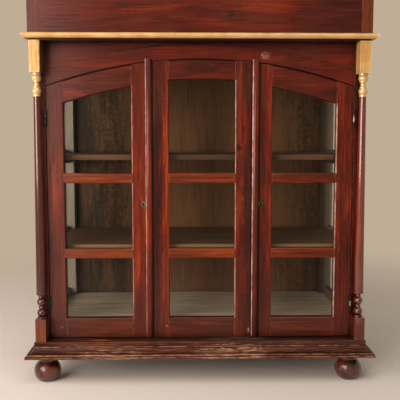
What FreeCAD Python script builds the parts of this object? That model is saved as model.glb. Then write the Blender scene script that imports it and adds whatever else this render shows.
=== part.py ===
import FreeCAD, Part
import math
import os
import re
import Sketcher

# A free-standing display cabinet: bun feet, stepped plinth, glazed sides, an arched front with two
# hinged glazed doors beside a fixed glazed panel, corner columns with gilt capitals, a gilt cornice
# and a plain parapet. X runs to the right, Y away from the viewer and Z up, in millimetres. The
# origin lies on the ground, under the middle of the cabinet.

SIZES = {
    # Carcass: overall width over the corner posts, and depth from the door faces to the back.
    "carcass_width": 1024,
    "carcass_depth": 465,
    "post_width": 34,
    "post_depth": 45,
    "rear_post_width": 45,
    "back_thickness": 12,
    "back_board_gap": 0.1,
    "back_board_count": 7,
    "fit_gap": 0.5,
    # Bun feet, each with a spigot in a corner block.
    "foot_height": 85,
    "left_foot_inset": 29,
    "right_foot_inset": 42,
    "front_foot_inset": 37,
    "rear_foot_inset": 45,
    "foot_pad_radius": 25,
    "foot_bulge": 17,
    "bun_height": 64,
    "foot_collar_radius": 27,
    "foot_collar_height": 6,
    "foot_neck_radius": 24,
    "spigot_radius": 10,
    "spigot_length": 24,
    "spigot_clearance": 0.3,
    # Base box and the stepped moulding round it.
    "plinth_height": 46,
    "plinth_flare": 28,
    "plinth_band": 7,
    "plinth_step": 2,
    "plinth_ovolo": 7,
    "plinth_lip": 3,
    "plinth_lip_height": 12,
    "plinth_bead": 4,
    "plinth_bead_rise": 1.6,
    "plinth_cove_rise": 2.5,
    "deck_margin": 1,
    "deck_thickness": 18,
    "base_rail_thickness": 16,
    "corner_block_size": 54,
    # Floor and shelves, heights over the deck.
    "floor_height": 39,
    "floor_thickness": 18,
    "bearer_width": 26,
    "lower_shelf_height": 292,
    "upper_shelf_height": 580,
    "shelf_thickness": 17,
    "shelf_setback": 45,
    "batten_width": 20,
    "batten_height": 18,
    # Glazed sides.
    "side_setback": 4,
    "side_thickness": 20,
    "side_bottom_rail": 66,
    "side_mid_rail": 40,
    "side_top_rail": 74,
    "side_glass_depth": 9,
    # Arched front opening.
    "opening_side_height": 790,
    "arch_rise": 84,
    "arch_band": 43,
    "frieze_margin": 6,
    "frieze_recess": 2.5,
    "front_thickness": 22,
    "fixed_setback": 0.5,
    # Doors and the fixed panel between them.
    "centre_width": 330,
    "centre_offset": 5,
    "centre_stile": 62,
    "centre_top_rail": 60,
    "door_stile": 52,
    "door_top_rail": 64,
    "door_gap": 1.5,
    "lock_gap": 2,
    "bottom_rail": 63,
    "bar_height": 31.5,
    "lower_bar": 270,
    "upper_bar": 507.5,
    "sight_chamfer": 3,
    "rebate_lip": 10,
    "rebate_width": 8,
    "pane_margin": 1,
    "glass_thickness": 3,
    "bead_width": 7.5,
    "cut_margin": 1,
    # Rounded strips on the meeting edges of the doors.
    "strip_width": 20,
    "strip_thickness": 9,
    "strip_edge": 3,
    "strip_overrun": 11,
    # Butt hinges.
    "hinge_gap": 2.4,
    "hinge_length": 50,
    "lower_hinge": 109,
    "upper_hinge": 691,
    "leaf_thickness": 1.1,
    "leaf_width": 18,
    "leaf_clearance": 0.2,
    "knuckle_radius": 3.5,
    "knuckle_gap": 0.3,
    "pin_radius": 1.55,
    "pin_clearance": 0.05,
    "pin_offset": 4,
    "pin_head_radius": 2.8,
    "pin_head_height": 2.5,
    # Locks on the back of the doors, with a sliding bolt behind the fixed panel.
    "key_height": 425,
    "key_backset": 17,
    "keyhole_radius": 2.6,
    "keyhole_slot": 2.4,
    "keyhole_drop": 7,
    "escutcheon_width": 15,
    "escutcheon_height": 19,
    "escutcheon_thickness": 1.5,
    "lock_inset": 1,
    "lock_width": 40,
    "lock_height": 60,
    "lock_thickness": 12,
    "bolt_length": 34,
    "bolt_height": 16,
    "bolt_thickness": 6,
    "bolt_clearance": 0.3,
    "bolt_inset": 0.5,
    "strike_width": 14,
    "strike_height": 40,
    "strike_thickness": 1.5,
    # Corner columns, from the deck up: block, ring, two capped balls on necks, rim and tapering shaft.
    "block_width": 32,
    "block_depth": 48,
    "block_outset": 1,
    "base_block_height": 72,
    "base_ring_radius": 13,
    "base_ring_height": 5,
    "ball_edge_radius": 8.2,
    "ball_bulge": 6,
    "ball_height": 22,
    "cap_edge_radius": 6.5,
    "cap_bulge": 1.8,
    "cap_height": 10,
    "neck_radius": 6,
    "neck_height": 2.5,
    "shaft_rim_radius": 15.9,
    "shaft_rim_height": 5,
    "shaft_foot_radius": 15.6,
    "shaft_head_radius": 10.4,
    # Gilt capitals: ring, bulb, collar, small bead, collar, cup and ring under a square block.
    "capital_block_height": 95,
    "capital_ring_radius": 11.2,
    "capital_ring_height": 6,
    "bulb_edge_radius": 9.5,
    "bulb_bulge": 4,
    "bulb_height": 19,
    "collar_radius": 10.5,
    "collar_height": 3.5,
    "throat_edge_radius": 7,
    "throat_bulge": 1.2,
    "throat_height": 14,
    "cup_edge_radius": 11.5,
    "cup_bulge": 2.9,
    "cup_height": 18,
    "capital_top_radius": 13.8,
    "capital_top_height": 6,
    # Cornice round the top board, and the parapet on it.
    "top_thickness": 21,
    "cornice_overhang": 19,
    "cornice_flat": 10,
    "cornice_foot": 4,
    "cornice_rise": 4,
    "cornice_nose": 12,
    "parapet_height": 120,
    "parapet_thickness": 20,
    "parapet_stile": 34,
    "parapet_outset": 5,
}

# Places worked out from the sizes.
DERIVED = {
    "half_width": "carcass_width / 2",
    "jamb": "half_width - post_width",
    "rear_jamb": "half_width - rear_post_width",
    "block_outer": "half_width + block_outset",
    "block_inner": "block_outer - block_width",
    "deck_half": "block_outer + deck_margin",
    "front_reach": "block_depth + deck_margin + plinth_flare",
    "face": "(front_reach - carcass_depth) / 2",
    "back": "face + carcass_depth",
    "back_inner": "back - back_thickness",
    "block_front": "face - block_depth",
    "deck_front": "block_front - deck_margin",
    "post_rear": "face + post_depth",
    "rear_post_front": "back - post_depth",
    "rail_top": "deck_top - deck_thickness",
    "deck_top": "foot_height + plinth_height",
    "floor_top": "deck_top + floor_height",
    "spring": "deck_top + opening_side_height",
    "arch_radius": "(jamb ^ 2 + arch_rise ^ 2) / (2 * arch_rise)",
    "arch_centre": "spring + arch_rise - arch_radius",
    "door_radius": "arch_radius - door_gap",
    "band_radius": "arch_radius + arch_band",
    "carcass_top": "spring + arch_rise + arch_band + frieze_margin",
    "top_face": "carcass_top + top_thickness",
    "parapet_top": "top_face + parapet_height",
    "side_outer": "half_width - side_setback",
    "side_inner": "side_outer - side_thickness",
    "side_pane": "side_outer - side_glass_depth",
    "fixed_front": "face + fixed_setback",
    "fixed_back": "fixed_front + front_thickness",
    "door_back": "face + front_thickness",
    "centre_left": "centre_offset - centre_width / 2",
    "centre_right": "centre_offset + centre_width / 2",
    "hinge_edge": "jamb - hinge_gap",
    "hinge_axis": "jamb - hinge_gap / 2",
    "pin_line": "face - pin_offset",
    "key_level": "deck_top + key_height",
    "column_axis": "block_outer - block_width / 2",
    "column_line": "face - block_depth / 2",
    "capital_turning": "capital_ring_height + bulb_height + 2 * collar_height + throat_height + cup_height"
                       " + capital_top_height",
    "capital_foot": "carcass_top - capital_block_height - capital_turning",
    "base_turning": "base_ring_height + 2 * (ball_height + cap_height + neck_height) + shaft_rim_height",
    "shaft_foot": "deck_top + base_block_height + base_turning",
    "parapet_half": "half_width + parapet_outset",
}

SIDES = {"left": -1, "right": 1}
WORD = re.compile(r"[a-z_]+")

doc = FreeCAD.newDocument("display_cabinet")
sheet = doc.addObject("Spreadsheet::Sheet", "Sizes")
for row, (alias, number) in enumerate(SIZES.items(), start=1):
    sheet.set(f"A{row}", alias)
    sheet.set(f"B{row}", str(number))
    sheet.setAlias(f"B{row}", alias)
doc.recompute()

nodes = {}


def spelled(text):
    """The text as an expression of the sheet's cells."""
    def swap(match):
        word = match.group(0)
        if word in DERIVED:
            return "(" + spelled(DERIVED[word]) + ")"
        return "Sizes." + word if word in SIZES else word
    return WORD.sub(swap, text)


def worked_out(text):
    return float(sheet.evalExpression(spelled(text)))


def bind(item, prop, text):
    item.setExpression(prop, spelled(text))


def place(item, spot):
    for axis, text in zip("xyz", spot):
        bind(item, "Placement.Base." + axis, text)


def keep(item):
    """Marks a finished piece, whose Label names its file."""
    nodes[item.Label] = item
    return item


def board(name, across, deep, up):
    """A box between two places along each of X, Y and Z."""
    item = doc.addObject("Part::Box", name)
    spans = (across, deep, up)
    for prop, (low, high) in zip(("Length", "Width", "Height"), spans):
        bind(item, prop, f"({high}) - ({low})")
    place(item, [low for low, high in spans])
    return item


def sided(sign, near, far):
    """The span between two distances from the middle, on the side that sign gives."""
    return (near, far) if sign > 0 else (f"-({far})", f"-({near})")


def rod(name, radius, spot, height):
    item = doc.addObject("Part::Cylinder", name)
    bind(item, "Radius", radius)
    bind(item, "Height", height)
    place(item, spot)
    return item


def group(name, pieces):
    item = doc.addObject("Part::Compound", name)
    item.Links = pieces
    return item


def fuse(name, pieces):
    item = doc.addObject("Part::MultiFuse", name)
    item.Shapes = pieces
    item.Refine = True
    return item


def cut(name, base, tool):
    item = doc.addObject("Part::Cut", name)
    item.Base = base
    item.Tool = tool
    return item


def common(name, base, tool):
    item = doc.addObject("Part::Common", name)
    item.Base = base
    item.Tool = tool
    return item


def arc_between(start, end, radius, turn):
    """A counter-clockwise arc from start to end, or from end to start where turn is right."""
    chord = end - start
    reach = math.sqrt(max(radius ** 2 - chord.Length ** 2 / 4, 0))
    side = FreeCAD.Vector(-chord.y, chord.x, 0).normalize()
    if turn == "right":
        side = side * -1
    centre = (start + end) * 0.5 + side * reach
    crown = centre - side * radius
    if turn == "left":
        return Part.Arc(start, crown, end)
    return Part.Arc(end, crown, start)


def draw(sketch, stops):
    """A closed outline through stops of (across, up), or (across, up, radius, turn) for an arc to one.

    The stops stay on the sheet's sizes: each has a distance from the origin along both axes, and each
    arc has a radius.
    """
    spots = [FreeCAD.Vector(worked_out(stop[0]), worked_out(stop[1]), 0) for stop in stops]
    count = len(stops)
    shapes = []
    ends = []
    for index in range(count):
        target = stops[(index + 1) % count]
        start, end = spots[index], spots[(index + 1) % count]
        if len(target) == 2:
            shapes.append(Part.LineSegment(start, end))
            ends.append((1, 2))
        else:
            shapes.append(arc_between(start, end, worked_out(target[2]), target[3]))
            ends.append((1, 2) if target[3] == "left" else (2, 1))
    sketch.addGeometry(shapes, False)
    for index in range(count):
        follower = (index + 1) % count
        sketch.addConstraint(
            Sketcher.Constraint("Coincident", index, ends[index][1], follower, ends[follower][0]))
    for index, stop in enumerate(stops):
        for kind, text in (("DistanceX", stop[0]), ("DistanceY", stop[1])):
            number = sketch.addConstraint(
                Sketcher.Constraint(kind, -1, 1, index, ends[index][0], worked_out(text)))
            bind(sketch, f"Constraints[{number}]", text)
        target = stops[(index + 1) % count]
        if len(target) > 2:
            number = sketch.addConstraint(Sketcher.Constraint("Radius", index, worked_out(target[2])))
            bind(sketch, f"Constraints[{number}]", target[2])


def sketched(name, plane, stops):
    body = doc.addObject("PartDesign::Body", name)
    sketch = body.newObject("Sketcher::SketchObject", name + "_outline")
    support = [feature for feature in body.Origin.OriginFeatures if feature.Role == plane]
    sketch.AttachmentSupport = [(support[0], "")]
    sketch.MapMode = "FlatFace"
    draw(sketch, stops)
    return body, sketch


def padded(name, plane, stops, length, spot=("0", "0", "0"), taper=0):
    """An outline padded along +X from YZ, +Z from XY, or +Y from XZ; tapered ones run along -Y."""
    body, sketch = sketched(name, plane, stops)
    pad = body.newObject("PartDesign::Pad", name + "_pad")
    pad.Profile = sketch
    pad.Reversed = plane == "XZ_Plane" and not taper
    pad.TaperAngle = taper
    bind(pad, "Length", length)
    place(body, spot)
    return body


def turned(name, stops, spot):
    """An outline of (radius, height) turned round an upright axis at spot."""
    body, sketch = sketched(name, "XZ_Plane", stops)
    turning = body.newObject("PartDesign::Revolution", name + "_turning")
    turning.Profile = sketch
    turning.ReferenceAxis = (sketch, ["V_Axis"])
    turning.Angle = 360
    place(body, spot)
    return body


def bow(height, rise):
    """The radius of an arc over a chord of this height, standing out by rise."""
    return f"((({height}) / 2) ^ 2 + ({rise}) ^ 2) / (2 * ({rise}))"


def on_arc(radius, across):
    """The height of an arc round the arch's centre, at a place across the front."""
    return f"arch_centre + sqrt(({radius}) ^ 2 - ({across}) ^ 2)"


def arched(left, right, low, radius):
    """An outline with upright sides, a flat foot and a head on an arc round the arch's centre."""
    return [
        (left, low),
        (right, low),
        (right, on_arc(radius, right)),
        (left, on_arc(radius, left), radius, "left"),
    ]


def curved_band(left, right, inner, outer):
    """An outline with upright ends between two arcs round the arch's centre."""
    return [
        (left, on_arc(inner, left)),
        (right, on_arc(inner, right), inner, "right"),
        (right, on_arc(outer, right)),
        (left, on_arc(outer, left), outer, "left"),
    ]


def rectangle(left, right, low, high):
    return [(left, low), (right, low), (right, high), (left, high)]


def bun_feet():
    neck = "foot_height - bun_height - foot_collar_height"
    collar_top = "bun_height + foot_collar_height"
    stops = [
        ("0", "0"),
        ("foot_pad_radius", "0"),
        ("foot_pad_radius", "bun_height", bow("bun_height", "foot_bulge"), "left"),
        ("foot_collar_radius", "bun_height"),
        ("foot_collar_radius", collar_top),
        ("foot_neck_radius", collar_top),
        ("foot_neck_radius", collar_top + " + " + neck),
        ("spigot_radius", "foot_height"),
        ("spigot_radius", "foot_height + spigot_length"),
        ("0", "foot_height + spigot_length"),
    ]
    feet = []
    bores = []
    blocks = []
    for side, sign in SIDES.items():
        across = f"{sign} * (deck_half - {side}_foot_inset)"
        block_far = "deck_half - base_rail_thickness"
        block_span = sided(sign, block_far + " - corner_block_size", block_far)
        front_edge = "deck_front + base_rail_thickness"
        back_edge = "back - base_rail_thickness"
        rows = {
            "front": ("deck_front + front_foot_inset", (front_edge, front_edge + " + corner_block_size")),
            "rear": ("back - rear_foot_inset", (back_edge + " - corner_block_size", back_edge)),
        }
        for row, (deep, block_deep) in rows.items():
            name = f"{row}_{side}_foot"
            feet.append(turned(name, stops, (across, deep, "0")))
            bores.append(rod(name + "_bore", "spigot_radius + spigot_clearance",
                             (across, deep, "foot_height - cut_margin"),
                             "spigot_length + 2 * cut_margin"))
            blocks.append(board(name + "_block", block_span, block_deep, ("foot_height", "rail_top")))
    keep(group("bun_feet", feet))
    drill = group("spigot_bores", bores)
    keep(cut("base_corner_blocks", group("corner_block_blanks", blocks), drill))
    return drill


def base_box(drill):
    height = ("foot_height", "rail_top")
    front_inner = "deck_front + base_rail_thickness"
    back_inner = "back - base_rail_thickness"
    full = ("-deck_half", "deck_half")
    rails = [
        board("base_front_rail", full, ("deck_front", front_inner), height),
        board("base_back_rail", full, (back_inner, "back"), height),
    ]
    for side, sign in SIDES.items():
        across = sided(sign, "deck_half - base_rail_thickness", "deck_half")
        rails.append(board(f"base_{side}_rail", across, (front_inner, back_inner), height))
    keep(cut("base_rails", group("base_rail_blanks", rails), drill))
    keep(board("base_deck", full, ("deck_front", "back"), ("rail_top", "deck_top")))


def moulding_ring(name, profile, inner_half, inner_front, reach, foot, head):
    """A moulding along the front and both sides, mitred at the front corners.

    profile(sign) gives its section as (outward * sign, up), and foot and head its lowest and highest.
    """
    outer_half = f"{inner_half} + {reach}"
    outer_front = f"{inner_front} - {reach}"
    mitre = doc.addObject("Part::Wedge", name + "_mitre")
    corners = {
        "Xmin": f"-({outer_half})", "Xmax": outer_half,
        "Ymin": outer_front, "Ymax": inner_front,
        "Zmin": foot, "Zmax": head,
        "X2min": f"-{inner_half}", "X2max": inner_half,
        "Z2min": foot, "Z2max": head,
    }
    for prop, text in corners.items():
        bind(mitre, prop, text)
    front_bar = padded(name + "_front_bar", "YZ_Plane", profile(-1), f"2 * ({outer_half})",
                       (f"-({outer_half})", inner_front, foot))
    keep(common(name + "_front_moulding", front_bar, mitre))
    returns = []
    for side, sign in SIDES.items():
        bar = padded(f"{name}_{side}_bar", "XZ_Plane", profile(sign), f"back - ({outer_front})",
                     (f"{sign} * ({inner_half})", outer_front, foot))
        returns.append(cut(f"{name}_{side}_moulding", bar, mitre))
    keep(group(name + "_side_mouldings", returns))


def turn_for(sign, turn):
    """The turn of an arc whose outline is mirrored where sign is below nought."""
    if sign > 0:
        return turn
    return "left" if turn == "right" else "right"


def plinth_profile(sign):
    def stop(out, up, *arc):
        return (f"{sign} * ({out})", up) + arc

    ovolo_out = "plinth_flare - plinth_step - plinth_ovolo"
    ovolo_top = "plinth_band + plinth_ovolo"
    cove_foot = ovolo_out + " - plinth_step"
    bead_top = "plinth_height - plinth_lip_height"
    cove_head = bead_top + " - plinth_bead"
    chord = f"sqrt(({cove_foot} - plinth_lip) ^ 2 + ({cove_head} - ({ovolo_top})) ^ 2)"
    return [
        stop("0", "0"),
        stop("plinth_flare", "0"),
        stop("plinth_flare", "plinth_band"),
        stop("plinth_flare - plinth_step", "plinth_band"),
        stop(ovolo_out, ovolo_top, "plinth_ovolo", turn_for(sign, "left")),
        stop(cove_foot, ovolo_top),
        stop("plinth_lip", cove_head, bow(chord, "plinth_cove_rise"), turn_for(sign, "right")),
        stop("plinth_lip", bead_top, bow("plinth_bead", "plinth_bead_rise"), turn_for(sign, "left")),
        stop("plinth_lip", "plinth_height"),
        stop("0", "plinth_height"),
    ]


def cornice_profile(sign):
    def stop(out, up, *arc):
        return (f"{sign} * ({out})", up) + arc

    nose_drop = "top_thickness - cornice_nose"
    upper = f"sqrt((cornice_overhang - cornice_flat) ^ 2 + ({nose_drop}) ^ 2)"
    lower = "sqrt((cornice_overhang - cornice_foot) ^ 2 + (cornice_nose - cornice_rise) ^ 2)"
    return [
        stop("0", "cornice_rise"),
        stop("cornice_foot", "cornice_rise"),
        stop("cornice_overhang", "cornice_nose", bow(lower, lower + " / 5"), turn_for(sign, "left")),
        stop("cornice_flat", "top_thickness", bow(upper, upper + " / 5"), turn_for(sign, "left")),
        stop("0", "top_thickness"),
    ]


def carcass_floor():
    inner = "jamb - fit_gap"
    rear_inner = "rear_jamb - fit_gap"
    wide = "side_inner - fit_gap"
    front = "door_back + fit_gap"
    front_notch = "post_rear + fit_gap"
    rear_notch = "rear_post_front - fit_gap"
    rear = "back_inner - fit_gap"
    half = [(inner, front), (inner, front_notch), (wide, front_notch), (wide, rear_notch),
            (rear_inner, rear_notch), (rear_inner, rear)]
    stops = half + [(f"-({across})", deep) for across, deep in reversed(half)]
    keep(padded("floor_board", "XY_Plane", stops, "floor_thickness",
                ("0", "0", "floor_top - floor_thickness")))
    up = ("deck_top", "floor_top - floor_thickness")
    bearers = [board("front_bearer", (f"-({inner})", inner), (front, front + " + bearer_width"), up)]
    for side, sign in SIDES.items():
        across = sided(sign, "side_inner - bearer_width", "side_inner")
        bearers.append(board(f"{side}_bearer", across, ("post_rear", "rear_post_front"), up))
    keep(group("floor_bearers", bearers))


def shelves():
    inner = "rear_jamb - fit_gap"
    wide = "side_inner - fit_gap"
    front = "face + shelf_setback + fit_gap"
    notch = "rear_post_front - fit_gap"
    rear = "back_inner - fit_gap"
    half = [(wide, front), (wide, notch), (inner, notch), (inner, rear)]
    stops = half + [(f"-({across})", deep) for across, deep in reversed(half)]
    battens = []
    for level in ("lower", "upper"):
        under = f"deck_top + {level}_shelf_height - shelf_thickness"
        keep(padded(f"{level}_shelf", "XY_Plane", stops, "shelf_thickness", ("0", "0", under)))
        for side, sign in SIDES.items():
            battens.append(board(
                f"{level}_{side}_batten", sided(sign, "side_inner - batten_width", "side_inner"),
                ("post_rear", "rear_post_front"), (f"{under} - batten_height", under)))
    keep(group("shelf_battens", battens))


def side_levels():
    """The low and high edge of each side rail, from the bottom one up."""
    levels = [("deck_top", "deck_top + side_bottom_rail")]
    for level in ("lower", "upper"):
        middle = f"deck_top + {level}_shelf_height - shelf_thickness / 2"
        levels.append((f"{middle} - side_mid_rail / 2", f"{middle} + side_mid_rail / 2"))
    levels.append(("carcass_top - side_top_rail", "carcass_top"))
    return levels


def glazed_sides():
    levels = side_levels()
    grow = "rebate_width - pane_margin"
    ends = {"front": ("jamb", ("face", "post_rear")), "rear": ("rear_jamb", ("rear_post_front", "back"))}
    posts = {end: [] for end in ends}
    panes = []
    rails = []
    for side, sign in SIDES.items():
        grooves = []
        for number, (below, above) in enumerate(zip(levels, levels[1:]), start=1):
            low, high = below[1], above[0]
            panes.append(board(
                f"{side}_side_pane_{number}", sided(sign, "side_pane - glass_thickness", "side_pane"),
                (f"post_rear - ({grow})", f"rear_post_front + {grow}"),
                (f"{low} - ({grow})", f"{high} + {grow}")))
            grooves.append(board(
                f"{side}_side_groove_{number}",
                sided(sign, "side_pane - glass_thickness", "side_pane + fit_gap"),
                ("post_rear - rebate_width", "rear_post_front + rebate_width"),
                (f"{low} - rebate_width", f"{high} + rebate_width")))
        groove = group(f"{side}_side_grooves", grooves)
        blanks = [
            board(f"{side}_side_rail_{number}", sided(sign, "side_inner", "side_outer"),
                  ("post_rear", "rear_post_front"), level)
            for number, level in enumerate(levels, start=1)
        ]
        rails.append(cut(f"{side}_side_frame", group(f"{side}_side_blanks", blanks), groove))
        for end, (inner, deep) in ends.items():
            blank = board(f"{side}_{end}_post_blank", sided(sign, inner, "half_width"), deep,
                          ("deck_top", "carcass_top"))
            posts[end].append(cut(f"{side}_{end}_post", blank, groove))
    for end, pair in posts.items():
        keep(group(end + "_posts", pair))
    keep(group("side_rails", rails))
    keep(group("side_glass", panes))


def back_boards():
    pitch = "(2 * rear_jamb + back_board_gap) / back_board_count"
    boards = []
    for number in range(SIZES["back_board_count"]):
        low = f"-rear_jamb + {number} * {pitch}"
        boards.append(board(f"back_board_{number + 1}", (low, f"{low} + {pitch} - back_board_gap"),
                            ("back_inner", "back"), ("deck_top", "carcass_top")))
    keep(group("back_boards", boards))


def arch_front():
    frieze = [
        ("-jamb", "carcass_top"),
        ("-jamb", on_arc("band_radius", "jamb")),
        ("jamb", on_arc("band_radius", "jamb"), "band_radius", "right"),
        ("jamb", "carcass_top"),
    ]
    keep(padded("frieze_board", "XZ_Plane", frieze, "front_thickness - frieze_recess",
                ("0", "fixed_front + frieze_recess", "0")))
    keep(padded("arch_rail", "XZ_Plane", curved_band("-jamb", "jamb", "arch_radius", "band_radius"),
                "front_thickness", ("0", "fixed_front", "0")))


def bar_edges(bar):
    return f"deck_top + {bar} - bar_height / 2", f"deck_top + {bar} + bar_height / 2"


def glazed_bay(prefix, left, right, low, front, radius, stile, top_rail):
    """The members of a glazed frame under the arch: stiles, head, bars, panes and beads.

    The sight edges are chamfered in front and rebated behind for a pane and the beads that hold it.
    Returns the stiles and the head, and keeps the rest.
    """
    sight_left = f"{left} + {stile}"
    sight_right = f"{right} - {stile}"
    sight_radius = f"{radius} - {top_rail}"
    lower_low, lower_high = bar_edges("lower_bar")
    upper_low, upper_high = bar_edges("upper_bar")
    sill = "deck_top + bottom_rail"
    openings = [(sill, lower_low), (lower_high, upper_low), (upper_high, None)]

    def outline(foot, head, grow):
        sides = (f"{sight_left} - ({grow})", f"{sight_right} + {grow}", f"{foot} - ({grow})")
        if head is None:
            return arched(*sides, f"{sight_radius} + {grow}")
        return rectangle(*sides, f"{head} + {grow}")

    cutters = []
    panes = []
    beads = []
    bead_front = f"{front} + rebate_lip + glass_thickness"
    bead_depth = "front_thickness - rebate_lip - glass_thickness"
    for number, (foot, head) in enumerate(openings, start=1):
        name = f"{prefix}_pane_{number}"
        cutters.append(padded(name + "_chamfer", "XZ_Plane", outline(foot, head, "0"),
                              "sight_chamfer + cut_margin", ("0", f"{front} + sight_chamfer", "0"),
                              taper=45))
        cutters.append(padded(name + "_rebate", "XZ_Plane", outline(foot, head, "rebate_width"),
                              "front_thickness - rebate_lip + cut_margin",
                              ("0", f"{front} + rebate_lip", "0")))
        panes.append(padded(name, "XZ_Plane", outline(foot, head, "rebate_width - pane_margin"),
                            "glass_thickness", ("0", f"{front} + rebate_lip", "0")))
        deep = (bead_front, f"{front} + front_thickness")
        outer_left = f"{sight_left} - bead_width"
        outer_right = f"{sight_right} + bead_width"
        beads.append(board(name + "_bead_foot", (outer_left, outer_right), deep,
                           (f"{foot} - bead_width", foot)))
        uprights = {"left": (outer_left, sight_left), "right": (sight_right, outer_right)}
        if head is None:
            head_bead = curved_band(outer_left, outer_right, sight_radius, f"{sight_radius} + bead_width")
            beads.append(padded(name + "_bead_head", "XZ_Plane", head_bead, bead_depth,
                                ("0", bead_front, "0")))
            for side, span in uprights.items():
                beads.append(padded(f"{name}_bead_{side}", "XZ_Plane", arched(*span, foot, sight_radius),
                                    bead_depth, ("0", bead_front, "0")))
        else:
            beads.append(board(name + "_bead_head", (outer_left, outer_right), deep,
                               (head, f"{head} + bead_width")))
            for side, span in uprights.items():
                beads.append(board(f"{name}_bead_{side}", span, deep, (foot, head)))
    cutter = group(prefix + "_cutter", cutters)

    depth = (front, f"{front} + front_thickness")
    spot = ("0", front, "0")
    stiles = {}
    for side, span in {"left": (left, sight_left), "right": (sight_right, right)}.items():
        blank = padded(f"{prefix}_{side}_stile_blank", "XZ_Plane", arched(*span, low, radius),
                       "front_thickness", spot)
        stiles[side] = (blank, cutter)
    head_blank = padded(prefix + "_head_blank", "XZ_Plane",
                        curved_band(sight_left, sight_right, sight_radius, radius),
                        "front_thickness", spot)
    keep(cut(prefix + "_top_rail", head_blank, cutter))
    sight = (sight_left, sight_right)
    blanks = [
        board(prefix + "_bottom_rail_blank", sight, depth, (low, sill)),
        board(prefix + "_lower_bar_blank", sight, depth, (lower_low, lower_high)),
        board(prefix + "_upper_bar_blank", sight, depth, (upper_low, upper_high)),
    ]
    keep(cut(prefix + "_rails", group(prefix + "_rail_blanks", blanks), cutter))
    keep(group(prefix + "_glass", panes))
    keep(group(prefix + "_glazing_beads", beads))
    return stiles


def centre_panel():
    stiles = glazed_bay("centre_panel", "centre_left", "centre_right", "deck_top", "fixed_front",
                        "arch_radius", "centre_stile", "centre_top_rail")
    keep(group("centre_panel_stiles", [
        cut(f"centre_panel_{side}_stile", *pair) for side, pair in stiles.items()
    ]))
    plates = []
    height = ("key_level - strike_height / 2", "key_level + strike_height / 2")
    deep = ("fixed_back", "fixed_back + strike_thickness")
    spans = {
        "left": ("centre_left", "centre_left + strike_width"),
        "right": ("centre_right - strike_width", "centre_right"),
    }
    for side, span in spans.items():
        plates.append(board(f"{side}_strike_plate", span, deep, height))
    keep(group("strike_plates", plates))


def keyhole(name, across):
    """A tool for the keyhole through the stile and its escutcheon: a round hole over a slot."""
    start = "face - escutcheon_thickness - cut_margin"
    length = "front_thickness + escutcheon_thickness + 2 * cut_margin"
    bore = rod(name + "_bore", "keyhole_radius", (across, start, "key_level"), length)
    bore.Placement.Rotation = FreeCAD.Rotation(FreeCAD.Vector(1, 0, 0), -90)
    slot = board(name + "_slot", (f"{across} - keyhole_slot / 2", f"{across} + keyhole_slot / 2"),
                 (start, f"{start} + {length}"), ("key_level - keyhole_drop", "key_level"))
    return fuse(name, [bore, slot])


def lock(side, inward, lock_edge):
    """The escutcheon, case and bolt; inward is the sign of X from the lock edge into the door."""
    def inset(near, far):
        edges = [f"{lock_edge} + {inward} * ({near})", f"{lock_edge} + {inward} * ({far})"]
        return tuple(edges if inward > 0 else reversed(edges))

    across = f"{lock_edge} + {inward} * key_backset"
    hole = keyhole(f"{side}_keyhole", across)
    half = "escutcheon_width / 2"
    straight = "(escutcheon_height - escutcheon_width) / 2"
    plate = padded(f"{side}_escutcheon_blank", "XZ_Plane", [
        (half, f"-({straight})", half, "left"),
        (half, straight),
        ("0", "escutcheon_height / 2", half, "left"),
        (f"-({half})", straight, half, "left"),
        (f"-({half})", f"-({straight})"),
        ("0", "-escutcheon_height / 2", half, "left"),
    ], "escutcheon_thickness", (across, "face - escutcheon_thickness", "key_level"))
    keep(cut(f"{side}_escutcheon", plate, hole))

    middle = "door_back + lock_thickness / 2"
    room = "bolt_thickness / 2 + bolt_clearance"
    rise = "bolt_height / 2 + bolt_clearance"
    case = board(f"{side}_lock_blank", inset("lock_inset", "lock_inset + lock_width"),
                 ("door_back", "door_back + lock_thickness"),
                 ("key_level - lock_height / 2", "key_level + lock_height / 2"))
    channel = board(f"{side}_lock_channel",
                    inset("0", "lock_inset + bolt_inset + bolt_length + bolt_clearance"),
                    (f"{middle} - ({room})", f"{middle} + {room}"),
                    (f"key_level - ({rise})", f"key_level + {rise}"))
    keep(cut(f"{side}_lock_case", case, channel))
    keep(board(f"{side}_lock_bolt",
               inset("lock_inset + bolt_inset", "lock_inset + bolt_inset + bolt_length"),
               (f"{middle} - bolt_thickness / 2", f"{middle} + bolt_thickness / 2"),
               ("key_level - bolt_height / 2", "key_level + bolt_height / 2")))
    return hole


def meeting_strip(side, lock_edge, gap_middle):
    """A rounded strip that covers the gap at the door's meeting edge and stops the door."""
    half = "strip_width / 2"
    crown = "strip_thickness - strip_edge"
    stops = [
        (half, "0"),
        (f"-({half})", "0"),
        (f"-({half})", "-strip_edge"),
        (half, "-strip_edge", bow("strip_width", crown), "left"),
    ]
    foot = "deck_top + door_gap"
    keep(padded(f"{side}_door_strip", "XY_Plane", stops,
                f"{on_arc('door_radius', lock_edge)} + strip_overrun - ({foot})",
                (gap_middle, "face", foot)))


def door(side, sign):
    prefix = side + "_door"
    lock_edge = f"(centre_{side} + {sign} * lock_gap)"
    hinge_edge = f"({sign} * hinge_edge)"
    edges = (lock_edge, hinge_edge) if sign > 0 else (hinge_edge, lock_edge)
    stiles = glazed_bay(prefix, *edges, "deck_top + door_gap", "face", "door_radius",
                        "door_stile", "door_top_rail")
    hinge_side, lock_side = ("right", "left") if sign > 0 else ("left", "right")
    keep(cut(prefix + "_hinge_stile", *stiles[hinge_side]))
    hole = lock(side, sign, lock_edge)
    pierced = cut(prefix + "_lock_stile_glazed", *stiles[lock_side])
    keep(cut(prefix + "_lock_stile", pierced, hole))
    meeting_strip(side, lock_edge, f"centre_{side} + {sign} * lock_gap / 2")


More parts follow.
